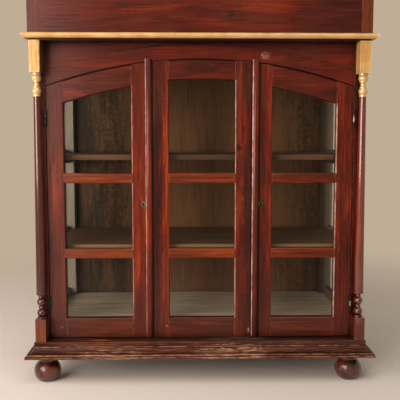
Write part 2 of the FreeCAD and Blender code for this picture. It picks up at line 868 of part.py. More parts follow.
def hinge_leaf(name, thickness_span, sign, levels, bands):
    """A leaf with its knuckles: levels are its foot and head, bands those of each knuckle."""
    across = sided(sign, *thickness_span)
    axis = f"{sign} * hinge_axis"
    pieces = [board(name + "_plate", across, ("face + leaf_clearance", "face + leaf_width"), levels)]
    for number, (low, high) in enumerate(bands, start=1):
        pieces.append(board(f"{name}_tongue_{number}", across, ("pin_line", "face + leaf_clearance"),
                            (low, high)))
        pieces.append(rod(f"{name}_knuckle_{number}", "knuckle_radius", (axis, "pin_line", low),
                          f"({high}) - ({low})"))
    bore = rod(name + "_bore", "pin_radius + pin_clearance",
               (axis, "pin_line", f"{levels[0]} - cut_margin"), "hinge_length + 2 * cut_margin")
    return cut(name, fuse(name + "_blank", pieces), bore)


def hinges():
    frame_leaves = []
    pins = []
    for side, sign in SIDES.items():
        door_leaves = []
        for end in ("lower", "upper"):
            name = f"{side}_{end}_hinge"
            foot = f"deck_top + {end}_hinge - hinge_length / 2"
            head = f"deck_top + {end}_hinge + hinge_length / 2"
            third = f"{foot} + hinge_length / 3"
            two_thirds = f"{foot} + 2 * hinge_length / 3"
            frame_leaves.append(hinge_leaf(
                name + "_frame_leaf", ("jamb - leaf_thickness", "jamb"), sign, (foot, head),
                [(foot, f"{third} - knuckle_gap / 2"), (f"{two_thirds} + knuckle_gap / 2", head)]))
            door_leaves.append(hinge_leaf(
                name + "_door_leaf", ("hinge_edge", "hinge_edge + leaf_thickness"), sign, (foot, head),
                [(f"{third} + knuckle_gap / 2", f"{two_thirds} - knuckle_gap / 2")]))
            spot = (f"{sign} * hinge_axis", "pin_line")
            pins.append(fuse(name + "_pin", [
                rod(name + "_pin_shank", "pin_radius", (*spot, foot), "hinge_length"),
                rod(name + "_pin_head", "pin_head_radius", (*spot, head), "pin_head_height"),
            ]))
        keep(group(f"{side}_door_hinge_leaves", door_leaves))
    keep(group("frame_hinge_leaves", frame_leaves))
    keep(group("hinge_pins", pins))


def climbing(sections):
    """The outline of a turned piece from its sections, each (kind, height, edge radius, swell).

    A ring is straight, a taper ends at the radius given as its swell, and a bead bulges by its swell.
    """
    stops = [("0", "0")]
    level = "0"
    for kind, height, edge, swell in sections:
        stops.append((edge, level))
        level = f"{level} + {height}"
        if kind == "ring":
            stops.append((edge, level))
        elif kind == "taper":
            stops.append((swell, level))
        else:
            stops.append((edge, level, bow(height, swell), "left"))
    stops.append(("0", level))
    return stops


def columns():
    capped_ball = [
        ("bead", "ball_height", "ball_edge_radius", "ball_bulge"),
        ("bead", "cap_height", "cap_edge_radius", "cap_bulge"),
        ("ring", "neck_height", "neck_radius", None),
    ]
    collar = ("ring", "collar_height", "collar_radius", None)
    base = [
        ("ring", "base_ring_height", "base_ring_radius", None),
        *capped_ball,
        *capped_ball,
        ("ring", "shaft_rim_height", "shaft_rim_radius", None),
        ("taper", "capital_foot - (shaft_foot)", "shaft_foot_radius", "shaft_head_radius"),
    ]
    head = [
        ("ring", "capital_ring_height", "capital_ring_radius", None),
        ("bead", "bulb_height", "bulb_edge_radius", "bulb_bulge"),
        collar,
        ("bead", "throat_height", "throat_edge_radius", "throat_bulge"),
        collar,
        ("bead", "cup_height", "cup_edge_radius", "cup_bulge"),
        ("ring", "capital_top_height", "capital_top_radius", None),
    ]
    shafts = []
    capitals = []
    block_top = "deck_top + base_block_height"
    capital_block = "carcass_top - capital_block_height"
    for side, sign in SIDES.items():
        across = sided(sign, "block_inner", "block_outer")
        deep = ("block_front", "face")
        axis = (f"{sign} * (column_axis)", "column_line")
        shafts.append(fuse(f"{side}_column", [
            board(f"{side}_base_block", across, deep, ("deck_top", block_top)),
            turned(f"{side}_column_turning", climbing(base), (*axis, block_top)),
        ]))
        capitals.append(fuse(f"{side}_capital", [
            turned(f"{side}_capital_turning", climbing(head), (*axis, "capital_foot")),
            board(f"{side}_capital_block", across, deep, (capital_block, "carcass_top")),
        ]))
    for piece in shafts + capitals:
        keep(piece)


def crown():
    keep(board("carcass_top_board", ("-block_outer", "block_outer"), ("block_front", "back"),
               ("carcass_top", "top_face")))
    lid_foot = "parapet_top - parapet_thickness"
    up = ("top_face", lid_foot)
    front = ("block_front", "block_front + parapet_thickness")
    rear = ("back - parapet_thickness", "back")
    stile_inner = "parapet_half - parapet_stile"
    keep(board("parapet_front_board", (f"-({stile_inner})", stile_inner), front, up))
    stiles = []
    returns = [board("parapet_back_board", ("-parapet_half", "parapet_half"), rear, up)]
    for side, sign in SIDES.items():
        stiles.append(board(f"{side}_parapet_stile", sided(sign, stile_inner, "parapet_half"), front, up))
        returns.append(board(f"{side}_parapet_return",
                             sided(sign, "parapet_half - parapet_thickness", "parapet_half"),
                             (front[1], rear[0]), up))
    keep(group("parapet_stiles", stiles))
    keep(group("parapet_returns", returns))
    keep(board("parapet_lid", ("-parapet_half", "parapet_half"), (front[0], "back"),
               (lid_foot, "parapet_top")))


base_box(bun_feet())
moulding_ring("plinth", plinth_profile, "deck_half", "deck_front", "plinth_flare",
              "foot_height", "deck_top")
carcass_floor()
shelves()
glazed_sides()
back_boards()
arch_front()
centre_panel()
for door_side, door_sign in SIDES.items():
    door(door_side, door_sign)
hinges()
columns()
moulding_ring("cornice", cornice_profile, "block_outer", "block_front", "cornice_overhang",
              "carcass_top", "top_face")
crown()
doc.recompute()

failed = [item.Label for item in doc.Objects if "Invalid" in item.State or "Error" in item.State]
if failed:
    raise RuntimeError("failed objects: " + ", ".join(failed))
for label, node in nodes.items():
    if node.Shape.isNull() or not node.Shape.isValid():
        raise RuntimeError("bad shape: " + label)

os.makedirs("parts", exist_ok=True)
for label, node in nodes.items():
    node.Shape.exportStep(f"parts/{label}.step")
print(f"{len(nodes)} pieces written")
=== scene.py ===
import math

import bpy
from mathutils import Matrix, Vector


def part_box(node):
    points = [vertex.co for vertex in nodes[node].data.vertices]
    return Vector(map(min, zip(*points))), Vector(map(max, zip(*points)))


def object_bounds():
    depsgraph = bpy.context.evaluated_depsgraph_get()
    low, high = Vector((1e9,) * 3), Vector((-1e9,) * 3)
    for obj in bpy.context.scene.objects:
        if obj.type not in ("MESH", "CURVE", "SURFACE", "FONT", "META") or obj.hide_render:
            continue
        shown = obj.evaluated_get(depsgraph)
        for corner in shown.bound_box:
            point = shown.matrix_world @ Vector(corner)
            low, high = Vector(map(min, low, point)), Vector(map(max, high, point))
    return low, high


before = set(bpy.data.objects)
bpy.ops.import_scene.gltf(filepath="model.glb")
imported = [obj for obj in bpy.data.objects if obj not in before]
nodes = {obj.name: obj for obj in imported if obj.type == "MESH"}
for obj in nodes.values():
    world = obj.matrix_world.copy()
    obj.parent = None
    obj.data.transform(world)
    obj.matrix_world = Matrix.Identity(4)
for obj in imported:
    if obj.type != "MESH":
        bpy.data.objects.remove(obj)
cad_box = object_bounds()

# The axes, which are also the directions of the grain. LEVEL is for pieces that lie along X or Y.
ACROSS, DEEP, UP = 0, 1, 2
LEVEL = (ACROSS, DEEP)


def tint(red, green, blue):
    """A colour written in 0 to 255, as the linear values that a shader takes."""
    def linear(part):
        part = part / 255
        return part / 12.92 if part <= 0.04045 else ((part + 0.055) / 1.055) ** 2.4
    return (linear(red), linear(green), linear(blue), 1.0)


BACKGROUND = tint(191, 173, 150)
# Pale bare wood at worn edges, which on the frame is also partly a painted highlight along them.
BARE_WOOD_AND_HIGHLIGHT = tint(190, 130, 102)
# A painted highlight, partly also pale wear, on faces that look left.
LEFT_FACE_HIGHLIGHT = tint(232, 190, 178)
SCRATCH = tint(204, 154, 144)
# Near-black for painted shade and grime in corners, gaps and crevices.
GRIME_AND_SHADE = tint(15, 8, 6)
# The grey paint inside, on the rear posts and the sides' rails, and a darker copy of it as painted shade
# at the right.
INSIDE_PAINT = tint(152, 140, 134)
SHADED_PAINT = tint(70, 50, 37)


def low_end(node, axis):
    """Where a node's box starts along an axis."""
    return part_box(node)[0][axis]


def high_end(node, axis):
    """Where a node's box ends along an axis."""
    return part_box(node)[1][axis]


def middle(node, axis):
    """Halfway along a node's box."""
    return (low_end(node, axis) + high_end(node, axis)) / 2


# The two doors and the fixed panel between them.
LEAVES = ("left_door", "centre_panel", "right_door")
WHOLE_HEIGHT = cad_box[1][UP]
MIDDLE_HEIGHT = WHOLE_HEIGHT / 2
# Faces and edges that marks are placed from.
DOOR_FACE = low_end("left_door_lock_stile", DEEP)
PARAPET_FACE = low_end("parapet_front_board", DEEP)
BACK_FACE = low_end("back_boards", DEEP)
DECK_TOP = high_end("base_deck", UP)
DECK_FRONT = low_end("base_deck", DEEP)
PLINTH_FOOT = low_end("plinth_front_moulding", UP)
# The Y of the plinth moulding's steps, a little behind its front.
PLINTH_STEPS = low_end("plinth_front_moulding", DEEP) + 0.011
# The moulding's quirks, darkened with painted shade, and its crests, which are rubbed, over its foot.
QUIRK_RISES = (0.0075, 0.0145, 0.0295, 0.0345)
CREST_RISES = (0.0045, 0.0115, 0.032)
# The turned part of the capitals, and the foot of the square blocks on it.
TURNED_HEIGHT = 0.07
GILT_BLOCK_FOOT = low_end("left_capital", UP) + TURNED_HEIGHT
# The painted shadow line along the doors' arch: half its width, its rise, and its top just under the
# heads' top.
ARCH_SPAN = high_end("arch_rail", ACROSS)
ARCH_RISE = 0.084
ARCH_TOP = high_end("centre_panel_top_rail", UP) - 0.001
# How far from its middle a painted shadow line starts to show, and where it is full.
ARCH_SHADOW_LINE = (0.0045, 0.0022)
STRIP_SHADOW_LINE = (0.0032, 0.0012)
# How far in from an edge the varnish is worn off; on the frame the pale bare wood there is also partly a
# painted highlight.
WORN_EDGE = 0.0025
# Heights from the bottom rails to the lower bars, and from the lower bars down to the dull base.
RAILS_TO_BARS = (0.22, 0.34)
BARS_TO_BASE = (0.36, 0.14)
# Where the painted grey sheen on the varnish grows towards the left end, and the plinth darkens.
LEFT_SHEEN = (-0.25, -0.55)
PLINTH_LEFT_END = (-0.35, -0.5)
# How far the figure of one board lies from that of the next.
BOARD_SPREAD = 40.0


class Graph:
    """A material's node tree, with short calls that return the socket to go on from."""

    def __init__(self, tree):
        self.tree = tree
        self.tree.nodes.clear()

    def node(self, kind, inputs=None, **settings):
        """A new node, whose inputs are other nodes' sockets or plain values."""
        made = self.tree.nodes.new("ShaderNode" + kind)
        for key, value in settings.items():
            setattr(made, key, value)
        for key, value in (inputs or {}).items():
            self.feed(made.inputs[key], value)
        return made

    def feed(self, socket, value):
        if isinstance(value, bpy.types.NodeSocket):
            self.tree.links.new(value, socket)
        else:
            socket.default_value = value

    def math(self, operation, first, second=0.0):
        return self.node("Math", {0: first, 1: second}, operation=operation).outputs[0]

    def plus(self, *values):
        total = values[0]
        for value in values[1:]:
            total = self.math("ADD", total, value)
        return total

    def times(self, *values):
        product = values[0]
        for value in values[1:]:
            product = self.math("MULTIPLY", product, value)
        return product

    def most(self, *values):
        highest = values[0]
        for value in values[1:]:
            highest = self.math("MAXIMUM", highest, value)
        return highest

    def vector(self, operation, first, second):
        return self.node("VectorMath", {0: first, 1: second}, operation=operation).outputs[0]

    def away_from(self, value, level):
        """How far the value is from a level, either way."""
        return self.math("ABSOLUTE", self.plus(value, -level))

    def length(self, vector):
        return self.node("VectorMath", {0: vector}, operation="LENGTH").outputs["Value"]

    def span(self, value, low, high, start=0.0, end=1.0):
        """The value's run from low to high as start to end, held at both ends."""
        inputs = {"Value": value, "From Min": low, "From Max": high, "To Min": start, "To Max": end}
        return self.node("MapRange", inputs, interpolation_type="SMOOTHSTEP").outputs[0]

    def blend(self, share, first, second):
        """The first colour, and the second as far as share says."""
        made = self.node("Mix", data_type="RGBA")
        for key, value in ((0, share), (6, first), (7, second)):
            self.feed(made.inputs[key], value)
        return made.outputs[2]

    def ramp(self, value, stops):
        """Colours along the value from 0 to 1; each stop is a place and a colour."""
        made = self.node("ValToRGB", {0: value})
        elements = made.color_ramp.elements
        elements.remove(elements[1])
        elements[0].position, elements[0].color = stops[0]
        for place, colour in stops[1:]:
            elements.new(place).color = colour
        return made.outputs[0]

    def noise(self, place, scale, detail=3.0, roughness=0.5, distortion=0.0):
        inputs = {"Vector": place, "Scale": scale, "Detail": detail, "Roughness": roughness,
                  "Distortion": distortion}
        return self.node("TexNoise", inputs).outputs[0]

    def object_place(self):
        return self.node("TexCoord").outputs["Object"]

    def along(self, axis):
        """The place along X, Y or Z in metres."""
        return self.node("SeparateXYZ", {0: self.object_place()}).outputs[axis]

    def facing(self, axis):
        """How far the piece's own surface faces along X, Y or Z, from -1 to 1."""
        return self.node("SeparateXYZ", {0: self.node("TexCoord").outputs["Normal"]}).outputs[axis]

    def own_number(self):
        """A number from 0 to 1 of each separate board's own."""
        whole = self.node("ObjectInfo").outputs["Random"]
        island = self.node("NewGeometry").outputs["Random Per Island"]
        return self.math("FRACT", self.plus(whole, island))

    def grain_place(self, grain, stretch, number):
        """The place on the piece, drawn out along the grain and moved by the board's own number."""
        scale = [1.0, 1.0, 1.0]
        for axis in grain if grain == LEVEL else [grain]:
            scale[axis] = 1 / stretch
        moved = self.vector("ADD", self.object_place(), self.times(number, BOARD_SPREAD))
        return self.vector("MULTIPLY", moved, scale)

    def patch(self, centre, reach):
        """1 around a place on the piece and 0 beyond its reach along X, Y and Z, with a ragged rim."""
        away = self.vector("SUBTRACT", self.object_place(), centre)
        distance = self.length(self.vector("DIVIDE", away, reach))
        ragged = self.plus(distance, self.noise(self.object_place(), 90, 3, 0.6), -0.5)
        return self.span(ragged, 1.0, 0.45)

    def edges(self, radius):
        """1 along the piece's edges and 0 on its flats."""
        rounded = self.node("Bevel", {"Radius": radius}, samples=4).outputs[0]
        flat = self.node("NewGeometry").outputs["Normal"]
        likeness = self.node("VectorMath", {0: rounded, 1: flat}, operation="DOT_PRODUCT").outputs["Value"]
        return self.span(likeness, 0.99, 0.85)

    def crevices(self, reach):
        """1 in narrow corners and gaps and 0 on open faces."""
        openness = self.node("AmbientOcclusion", {"Distance": reach}, samples=6).outputs["AO"]
        return self.span(openness, 0.72, 0.28)

    def bump(self, height, strength, distance):
        inputs = {"Strength": strength, "Distance": distance, "Height": height}
        return self.node("Bump", inputs).outputs[0]

    def surface(self, **inputs):
        """Ends the tree with a Principled shader; the inputs' names have _ for a space."""
        named = {key.replace("_", " "): value for key, value in inputs.items()}
        self.show(self.node("BsdfPrincipled", named))

    def show(self, shader, output="OutputMaterial"):
        self.node(output, {"Surface": shader.outputs[0]})


def new_material(name):
    material = bpy.data.materials.new(name)
    material.use_nodes = True
    return material, Graph(material.node_tree)


def wood_figure(graph, grain, number):
    """Tones, streaks, fibres, cracks and smoky patches of one board, each from 0 to 1."""
    broad = graph.grain_place(grain, 7, number)
    drawn = graph.grain_place(grain, 20, number)
    fine = graph.grain_place(grain, 50, number)
    crack = graph.away_from(graph.noise(fine, 70, 3, 0.6, 0.4), 0.5)
    return {
        "tones": graph.span(graph.noise(broad, 26, 3, 0.55, 0.8), 0.3, 0.7),
        "streaks": graph.span(graph.noise(drawn, 120, 6, 0.68, 0.6), 0.32, 0.68),
        "fibres": graph.span(graph.noise(fine, 430, 3, 0.6), 0.42, 0.68),
        "cracks": graph.span(crack, 0.012, 0.002),
        "smoke": graph.span(graph.noise(broad, 9, 4, 0.65), 0.5, 0.68),
    }


def arch_gap_shadow(graph):
    """1 along the gap between the doors' arched heads and the rail over them, where a shadow is painted.
    """
    radius = (ARCH_SPAN ** 2 + ARCH_RISE ** 2) / (2 * ARCH_RISE)
    centre = (0, 0, ARCH_TOP - radius)
    away = graph.vector("MULTIPLY", graph.vector("SUBTRACT", graph.object_place(), centre), (1, 0, 1))
    return graph.span(graph.away_from(graph.length(away), radius), *ARCH_SHADOW_LINE)


def inner_faces(graph):
    """1 on faces that look into the cabinet and 0 on those that look outwards, back, up or down."""
    outward = graph.times(graph.facing(ACROSS), graph.math("SIGN", graph.along(ACROSS)))
    level = graph.math("ABSOLUTE", graph.facing(UP))
    return graph.span(graph.most(outward, graph.facing(DEEP), level), 0.6, 0.3)


def inside_paint(graph, streaks):
    """Streaky grey paint, with painted shade making it darker in the right half apart from its outer end.
    """
    across = graph.along(ACROSS)
    left_half = graph.span(across, 0.0, -0.1)
    right_end = graph.span(across, 0.474, 0.512)
    paint = graph.blend(graph.most(left_half, right_end), SHADED_PAINT, INSIDE_PAINT)
    return graph.blend(graph.times(streaks, 0.3), paint, tint(92, 80, 71))


def spotted(graph, value, spots):
    """The value with the gain of each spot added; a spot is a place, its reach and its gain."""
    for centre, reach, gain in spots:
        value = graph.plus(value, graph.times(graph.patch(centre, reach), gain))
    return value


def smoke_haze_and_sheen(graph, colour, smoke, age):
    """The colour under smoky patches and cloudy varnish, with a painted grey sheen at the left end."""
    colour = graph.blend(graph.times(smoke, 0.4), colour, tint(36, 16, 12))
    cloudy = graph.span(graph.noise(graph.object_place(), 6, 3, 0.6), 0.45, 0.7, 0.0, 0.25 * age)
    colour = graph.blend(cloudy, colour, tint(96, 54, 40))
    # Painted sheen: a greyish reflection, stronger towards the left end.
    left_sheen = graph.span(graph.along(ACROSS), *LEFT_SHEEN, 0.0, 0.55 * age)
    return graph.blend(left_sheen, colour, tint(104, 69, 64))


def stained(graph, colour, stains):
    """The colour with its stains, and how far they cover it; a stain is a place, a reach and a colour."""
    share = 0.0
    for centre, reach, stain in stains:
        spread = graph.times(graph.patch(centre, reach), 0.8)
        colour = graph.blend(spread, colour, stain)
        share = graph.most(share, spread)
    return colour, share


def left_face_highlight(graph, colour, rubbed_and_highlight):
    """The colour with an uneven painted highlight, partly also worn pallor, on the faces that look left.
    """
    leftward = graph.span(graph.facing(ACROSS), -0.55, -0.75)
    uneven = graph.span(graph.noise(graph.object_place(), 24, 5, 0.75), 0.38, 0.62, 0.3, 1.0)
    return graph.blend(graph.times(leftward, uneven, rubbed_and_highlight), colour, LEFT_FACE_HIGHLIGHT)


def scratched(graph, colour, scratches):
    """The colour with pale squiggles; a scratch is a place and its reach."""
    for centre, reach in scratches:
        squiggle = graph.away_from(graph.noise(graph.object_place(), 170, 2, 0.5, 1.0), 0.5)
        scratch = graph.times(graph.patch(centre, reach), graph.span(squiggle, 0.06, 0.02), 0.6)
        colour = graph.blend(scratch, colour, SCRATCH)
    return colour


def grime_and_shade_mask(graph, corners, strip_shadows, arched):
    """1 for painted shade and soiling in corners, beside the strips and, on arched pieces, along the
    doors' arch.
    """
    grime_and_shade = graph.crevices(corners)
    # Painted shadows of the strips, as upright dark lines.
    for across in strip_shadows:
        off = graph.away_from(graph.along(ACROSS), across)
        grime_and_shade = graph.most(grime_and_shade, graph.span(off, *STRIP_SHADOW_LINE))
    if arched:
        grime_and_shade = graph.most(grime_and_shade, arch_gap_shadow(graph))
    return grime_and_shade


MAHOGANY = ((0.0, tint(38, 8, 5)), (0.3, tint(68, 16, 7)), (0.55, tint(96, 25, 9)),
            (0.8, tint(128, 41, 12)), (1.0, tint(160, 66, 20)))
ORANGE_MAHOGANY = ((0.0, tint(58, 17, 7)), (0.3, tint(96, 33, 11)), (0.55, tint(126, 50, 15)),
                   (0.8, tint(154, 72, 24)), (1.0, tint(184, 104, 44)))
# What shines under the coat of varnish is reddish, most of all on the turned columns and the plinth.
SOFT_GLOW = tint(255, 228, 218)
RED_GLOW = tint(255, 165, 142)


def mahogany(name, grain, lift=0.0, low_lift=None, contrast=0.25, figure_share=0.4, colours=MAHOGANY,
             coat=0.38, coat_roughness=0.2, coat_ior=1.5, glow=0.1, glow_tint=SOFT_GLOW, age=1.0,
             wear_and_highlight=0.4, spots=(), stains=(), scratches=(), strip_shadows=(), rubbed_and_highlight=0.0, corners=0.02,
             arched=False, painted_inside=False):
    """Red varnished wood. Lift shifts it from dark to orange, and low_lift is the lift under the bars.

    Contrast is the share of the fine streaks and figure_share that of the broad ones. Coat is the weight
    of the clear varnish, and glow is how strongly the wood shines under it, in the colour glow_tint. Age
    is how much of the haze, the painted sheen at the left end and the dull varnish there is. Wear sets
    how bare and pale the edges are; the pale wood there is also partly a painted highlight. Spots, stains
    and scratches are as the functions above say, and each strip shadow is the X of an upright black line
    of painted shadow beside a strip. The rubbing share is how strong the painted highlight, partly also
    worn pallor, is on faces that look left, and corners is the reach of the painted shade and soiling in
    corners. Arched pieces have a black line of painted shadow in the gap along the doors' arch. Pieces
    painted inside are grey where they face the inside, with painted shade in the right half.
    """
    material, graph = new_material(name)
    figure = wood_figure(graph, grain, graph.own_number())
    place = graph.object_place()
    height = graph.along(UP)
    shift = lift if low_lift is None else graph.span(height, *RAILS_TO_BARS, low_lift, lift)
    value = graph.plus(graph.times(figure["tones"], figure_share),
                       graph.times(figure["streaks"], contrast),
                       shift, 0.5 - (figure_share + contrast) / 2)
    colour = graph.ramp(spotted(graph, value, spots), colours)
    colour = smoke_haze_and_sheen(graph, colour, figure["smoke"], age)
    colour, faded = stained(graph, colour, stains)
    colour = graph.blend(graph.times(figure["fibres"], 0.42), colour, tint(30, 8, 6))
    colour = graph.blend(graph.times(figure["cracks"], 0.55), colour, tint(16, 6, 5))
    low = graph.span(height, *BARS_TO_BASE, 0.0, 0.4 * age)
    colour = graph.blend(low, colour, tint(72, 38, 29))
    # Pale worn edges, partly wear and partly a painted highlight along them.
    flaking = graph.span(graph.noise(place, 60, 4, 0.7), 0.42, 0.56)
    worn = graph.times(graph.edges(WORN_EDGE), flaking, wear_and_highlight)
    colour = graph.blend(worn, colour, BARE_WOOD_AND_HIGHLIGHT)
    if rubbed_and_highlight:
        colour = left_face_highlight(graph, colour, rubbed_and_highlight)
    colour = scratched(graph, colour, scratches)
    # Painted shade and grime: near-black in corners, in the strips' painted shadows and in the arch's gap.
    grime_and_shade = grime_and_shade_mask(graph, corners, strip_shadows, arched)
    colour = graph.blend(graph.times(grime_and_shade, 0.93), colour, GRIME_AND_SHADE)
    dull = graph.most(worn, low, grime_and_shade, faded)
    if painted_inside:
        inside = inner_faces(graph)
        colour = graph.blend(inside, colour, inside_paint(graph, figure["streaks"]))
        dull = graph.most(dull, inside)
    relief = graph.plus(graph.times(figure["fibres"], -0.4), graph.times(figure["cracks"], -1.0),
                        graph.noise(place, 22, 2))
    smooth = 0.4 - 0.2 * glow
    graph.surface(
        Base_Color=colour,
        Roughness=graph.span(figure["streaks"], 0, 1, smooth, smooth + 0.12),
        Specular_IOR_Level=glow,
        Specular_Tint=glow_tint,
        Coat_Weight=graph.span(dull, 0, 1, coat, coat * 0.25),
        Coat_Roughness=coat_roughness,
        Coat_IOR=coat_ior,
        Normal=graph.bump(relief, 0.12, 0.002),
    )
    return material


def plinth_lines(graph, rises, half):
    """1 within about half of one of the heights over the plinth's foot."""
    lines = 0.0
    for rise in rises:
        off = graph.away_from(graph.along(UP), PLINTH_FOOT + rise)
        lines = graph.most(lines, graph.span(off, half, half / 3))
    return lines


OLD_VARNISH = ((0.0, tint(26, 12, 9)), (0.4, tint(58, 25, 19)), (0.7, tint(94, 45, 34)),
               (1.0, tint(136, 74, 50)))
# Places on the plinth and their reach: scuffs in front, a bared spot on the deck, dust,
# and painted shade on the deck towards the doors.
LEFT_SCUFF = ((-0.27, PLINTH_STEPS, PLINTH_FOOT + 0.009), (0.15, 0.04, 0.022))
MIDDLE_SCUFF = ((0.1, PLINTH_STEPS, PLINTH_FOOT + 0.015), (0.15, 0.04, 0.04))
BARED_SPOT = ((-0.317, DECK_FRONT + 0.019, DECK_TOP), (0.045, 0.012, 0.012))
MIDDLE_DUST = ((0.11, DECK_FRONT + 0.031, DECK_TOP), (0.12, 0.025, 0.01))
LEFT_DUST = ((-0.4, DECK_FRONT + 0.035, DECK_TOP), (0.08, 0.02, 0.01))
DOOR_FOOT_SHADE = (DECK_FRONT + 0.011, DECK_FRONT + 0.033)


def worn_mahogany(name, grain):
    """Dull old varnish, worn through to pale wood, mostly along the edges and in two places in front."""
    material, graph = new_material(name)
    number = graph.own_number()
    figure = wood_figure(graph, grain, number)
    place = graph.object_place()
    left_end = graph.span(graph.along(ACROSS), *PLINTH_LEFT_END)
    value = graph.plus(graph.times(figure["tones"], 0.4), graph.times(figure["streaks"], 0.5),
                       graph.times(left_end, -0.12), -0.03)
    colour = graph.ramp(value, OLD_VARNISH)
    colour = graph.blend(graph.times(figure["smoke"], 0.4), colour, tint(34, 18, 14))
    scuffs = graph.most(graph.times(graph.patch(*LEFT_SCUFF), 0.85), graph.patch(*MIDDLE_SCUFF), 0.16)
    rubbed_and_highlight = graph.noise(graph.grain_place(grain, 18, number), 420, 6, 0.75, 0.1)
    rubbed_and_highlight = graph.times(graph.span(rubbed_and_highlight, 0.5, 0.56), scuffs, graph.span(left_end, 0, 1, 0.95, 0.2))
    flaking = graph.span(graph.noise(graph.grain_place(grain, 4, number), 120, 5, 0.75), 0.42, 0.54)
    crest = plinth_lines(graph, CREST_RISES, half=0.0016)
    bare = graph.most(rubbed_and_highlight, graph.times(graph.most(graph.edges(WORN_EDGE), crest), flaking, 0.6))
    colour = graph.blend(bare, colour, tint(198, 152, 120))
    bared = graph.patch(*BARED_SPOT)
    colour = graph.blend(graph.times(bared, 0.85), colour, tint(168, 88, 48))
    colour = graph.blend(graph.times(figure["fibres"], 0.5), colour, tint(30, 15, 11))
    door_foot_shade = graph.times(graph.span(graph.along(DEEP), *DOOR_FOOT_SHADE), graph.math("SUBTRACT", 1.0, bared))
    quirks = plinth_lines(graph, QUIRK_RISES, half=0.0013)
    # Painted shade: darker in crevices, in the quirks and on the deck towards the doors.
    grime_and_shade = graph.most(graph.crevices(0.01), graph.times(door_foot_shade, 0.95), graph.times(quirks, 0.8))
    colour = graph.blend(graph.times(grime_and_shade, 0.9), colour, tint(20, 11, 9))
    dusty = graph.most(graph.patch(*MIDDLE_DUST), graph.times(graph.patch(*LEFT_DUST), 0.3))
    dust = graph.times(graph.span(graph.noise(place, 240, 3, 0.7), 0.57, 0.62), dusty, 0.8)
    colour = graph.blend(dust, colour, tint(190, 166, 150))
    relief = graph.plus(graph.noise(place, 140, 4, 0.6), graph.times(bare, -1.0))
    graph.surface(
        Base_Color=colour,
        Roughness=graph.span(bare, 0, 1, 0.42, 0.75),
        Specular_IOR_Level=0.2,
        Specular_Tint=RED_GLOW,
        Coat_Weight=graph.span(bare, 0, 1, 0.1, 0.0),
        Coat_Roughness=0.3,
        Normal=graph.bump(relief, 0.3, 0.0015),
    )
    return material


def gilt(name, grain, brushed=0.45, shade=None):
    """Gold paint over wood, with a painted highlight on the edges, and brighter on the turned forms.

    Brushed is how dark the strokes along the grain are. Painted shade darkens the paint in its crevices,
    underneath, and in the shade, a place and its reach.
    """
    material, graph = new_material(name)
    place = graph.object_place()
    cloud = graph.span(graph.noise(place, 18, 4, 0.6), 0.35, 0.65)
    brush = graph.span(graph.noise(graph.grain_place(grain, 12, 0.0), 170, 4, 0.65), 0.35, 0.7)
    turned = graph.span(graph.along(UP), GILT_BLOCK_FOOT + 0.001, GILT_BLOCK_FOOT - 0.001)
    colour = graph.blend(cloud, tint(200, 154, 88), tint(220, 182, 116))
    colour = graph.blend(graph.times(brush, brushed), colour, tint(172, 124, 66))
    colour = graph.blend(graph.times(turned, 0.6), colour, tint(240, 202, 134))
    # A painted highlight along the edges.
    rim_highlight = graph.edges(0.004)
    colour = graph.blend(graph.times(rim_highlight, 0.9), colour, tint(250, 228, 184))
    specks = graph.span(graph.noise(place, 180, 3, 0.7), 0.62, 0.72)
    chips = graph.span(graph.noise(place, 110, 4, 0.7), 0.56, 0.66)
    worn = graph.most(graph.times(specks, 0.35), graph.times(rim_highlight, chips, 0.7))
    colour = graph.blend(worn, colour, tint(148, 88, 42))
    # Painted shade: near-black in crevices, underneath and in the given shade.
    hidden = graph.most(graph.crevices(0.008), graph.span(graph.facing(UP), -0.86, -0.98))
    if shade:
        hidden = graph.most(hidden, graph.times(graph.patch(*shade), 0.9))
    colour = graph.blend(graph.times(hidden, 0.9), colour, tint(36, 18, 8))
    graph.surface(
        Base_Color=colour,
        Metallic=graph.span(turned, 0, 1, 0.1, 0.4),
        Roughness=graph.span(turned, 0, 1, 0.45, 0.36),
        Specular_IOR_Level=0.2,
        Coat_Weight=graph.span(turned, 0, 1, 0.4, 1.0),
        Coat_Roughness=0.1,
        Coat_IOR=1.7,
        Normal=graph.bump(graph.noise(place, 90, 4, 0.6), 0.12, 0.001),
    )
    return material


def plain_wood(name, grain, dark, light, streaky=0.35, front=None, spots=()):
    """Stained wood without varnish.

    Streaky is the share of the streaks, front is the Y of the front, which gets a painted highlight, and
    the spots' gain is how much paler they are.
    """
    material, graph = new_material(name)
    number = graph.own_number()
    figure = wood_figure(graph, grain, number)
    value = graph.plus(graph.times(figure["tones"], 0.45), graph.times(figure["streaks"], streaky),
                       graph.span(number, 0, 1, -0.1, 0.25), 0.17 - streaky / 2)
    colour = graph.blend(spotted(graph, value, spots), dark, light)
    pore_and_shade = [part * 0.4 for part in dark[:3]] + [1]
    colour = graph.blend(graph.times(figure["fibres"], 0.35), colour, pore_and_shade)
    if front is not None:
        # A painted highlight along the front.
        front_highlight = graph.span(graph.along(DEEP), front + 0.0015, front + 0.0005)
        colour = graph.blend(graph.times(front_highlight, 0.55), colour, tint(178, 140, 108))
    # Painted shade in corners, in the dark pore colour.
    colour = graph.blend(graph.times(graph.crevices(0.03), 0.7), colour, pore_and_shade)
    graph.surface(
        Base_Color=colour,
        Roughness=0.6,
        Specular_IOR_Level=0.2,
        Normal=graph.bump(figure["fibres"], 0.15, 0.001),
    )
    return material


